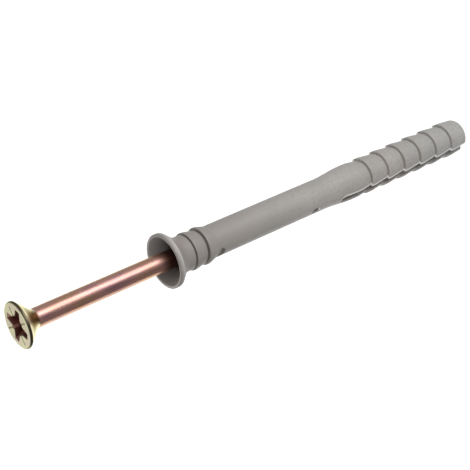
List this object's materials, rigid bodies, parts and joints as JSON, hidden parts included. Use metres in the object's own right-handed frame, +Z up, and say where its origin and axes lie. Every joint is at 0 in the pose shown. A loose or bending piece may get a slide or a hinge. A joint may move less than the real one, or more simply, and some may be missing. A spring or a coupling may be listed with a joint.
{
  "type": "nylon hammer fixing",
  "caption": "Split, barbed nylon sleeve with a funnel collar and a countersunk drive nail standing part way in its bore.",
  "frame": {"origin": "middle of the outline on the surface that the fixing lies on", "axes": "+X from the nail's head to the sleeve's nose, +Z up; the fixing's axis falls by about 1.2 degrees towards the nose"},
  "size_m": [0.125, 0.012, 0.012],
  "materials": {
    "nylon": "moulded, satin, warm grey",
    "steel": "zinc plated, yellow passivated, iridescent"
  },
  "bodies": {
    "sleeve": {"nylon_sleeve": "nylon"},
    "nail": {"drive_nail": "steel"}
  },
  "joints": [
    {"name": "nail_drive", "type": "slide", "parent": "sleeve", "child": "nail", "axis": [0.9998, 0, -0.0213], "range_m": [0, 0.0345]}
  ]
}
